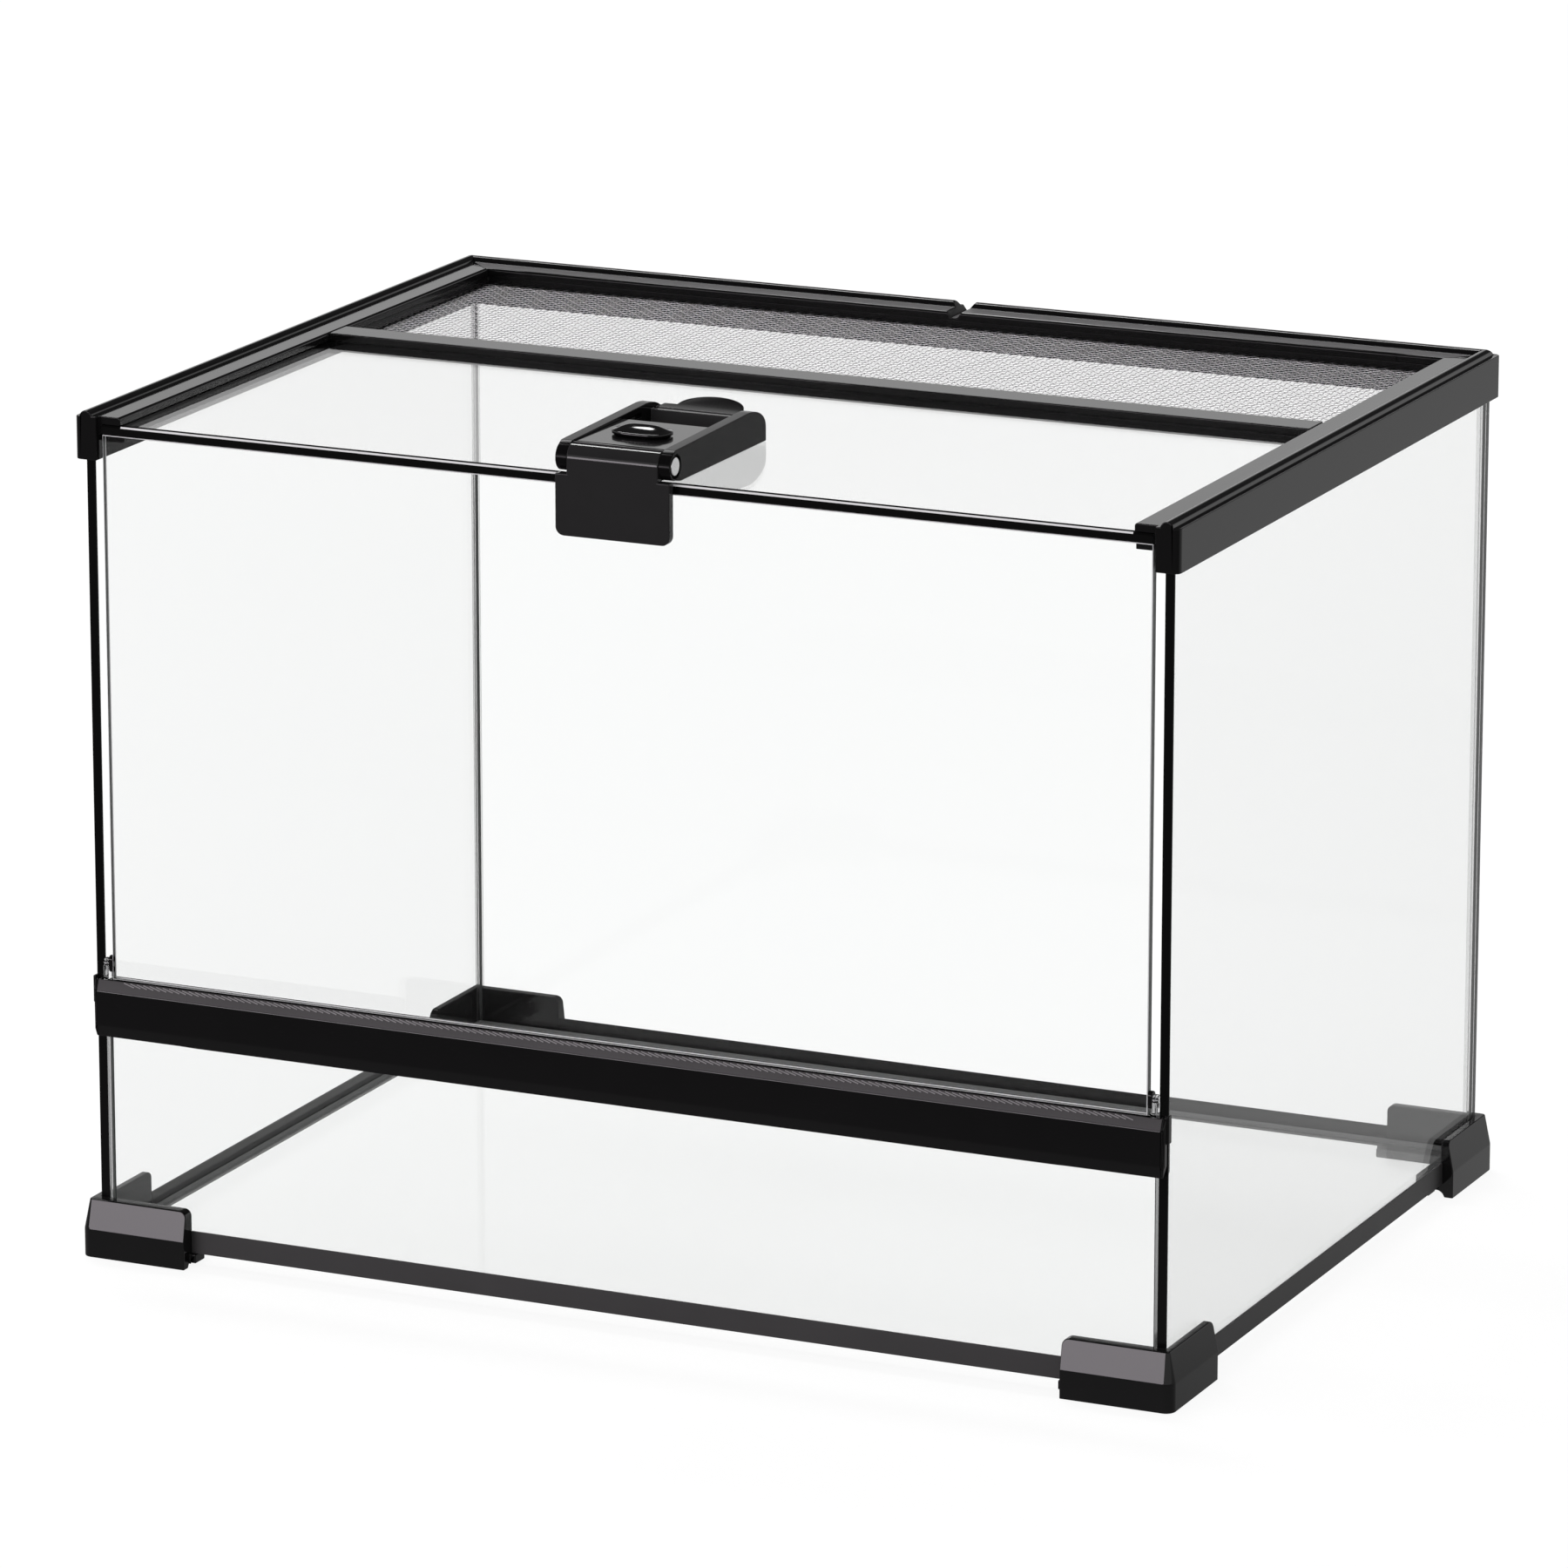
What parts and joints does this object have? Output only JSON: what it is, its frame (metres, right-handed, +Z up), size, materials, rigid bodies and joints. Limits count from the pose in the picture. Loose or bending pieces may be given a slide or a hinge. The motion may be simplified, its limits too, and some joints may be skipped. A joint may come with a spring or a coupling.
{
  "type": "reptile terrarium",
  "caption": "Glass reptile terrarium with black plastic rails and corner feet, a drop-down front door with a top latch, a mesh roof vent and a slotted front vent.",
  "frame": {"origin": "on the floor, under the middle of the tank", "axes": "+X along the width to the right seen from the front, +Y to the rear, +Z up; the door is at -Y"},
  "size_m": [0.404, 0.298, 0.3062],
  "materials": {
    "glass": "clear float glass with polished edges",
    "black_plastic": "satin black extruded and moulded plastic",
    "black_edge": "black edge band on the glass",
    "clear_silicone": "clear silicone joint",
    "clear_plastic": "clear moulded plastic",
    "steel_pin": "ground steel pin",
    "steel_mesh": "woven wire mesh",
    "foam_pad": "adhesive foam pad",
    "latch_plastic": "smooth black moulded plastic",
    "bright_pin": "polished pin with flat heads"
  },
  "bodies": {
    "tank": {"base_pane": "glass", "base_strip_front": "black_plastic", "base_strip_rear": "black_plastic", "base_strip_left": "black_plastic", "base_strip_right": "black_plastic", "foot_front_left": "black_plastic", "foot_front_right": "black_plastic", "foot_rear_left": "black_plastic", "foot_rear_right": "black_plastic", "side_pane_left": "glass", "side_pane_right": "glass", "rear_pane": "glass", "front_lower_pane": "glass", "side_edge_band_left": "black_edge", "side_edge_band_right": "black_edge", "silicone_front_left": "clear_silicone", "silicone_front_right": "clear_silicone", "silicone_rear_left": "clear_silicone", "silicone_rear_right": "clear_silicone", "front_rail": "black_plastic", "front_rail_cap_left": "black_plastic", "front_rail_cap_right": "black_plastic", "front_vent_grille": "black_plastic", "hinge_bearing_left": "clear_plastic", "hinge_bearing_right": "clear_plastic", "top_rail_left": "black_plastic", "top_rail_right": "black_plastic", "top_rail_rear": "black_plastic", "top_crossbar": "black_plastic", "top_pane": "glass", "top_edge_band": "black_edge", "mesh_frame": "black_plastic", "mesh_screen": "steel_mesh"},
    "door": {"door_pane": "glass", "hinge_lug_left": "black_plastic", "hinge_lug_right": "black_plastic", "hinge_pin_left": "steel_pin", "hinge_pin_right": "steel_pin", "latch_pad": "foam_pad", "latch_plate": "latch_plastic"},
    "latch_arm": {"latch_arm": "latch_plastic", "latch_pin": "bright_pin"},
    "slider": {"latch_slider": "latch_plastic", "slider_knob": "latch_plastic"}
  },
  "joints": [
    {"name": "door_hinge", "type": "hinge", "parent": "tank", "child": "door", "pos_m": [0, -0.1426, 0.104], "axis": [1, 0, 0], "range_deg": [0, 110]},
    {"name": "latch_arm_hinge", "type": "hinge", "parent": "door", "child": "latch_arm", "pos_m": [0.0012, -0.1433, 0.2976], "axis": [1, 0, 0], "range_deg": [0, 95]},
    {"name": "latch_slide", "type": "slide", "parent": "latch_arm", "child": "slider", "axis": [0, 1, 0], "range_m": [0, 0.014]}
  ]
}
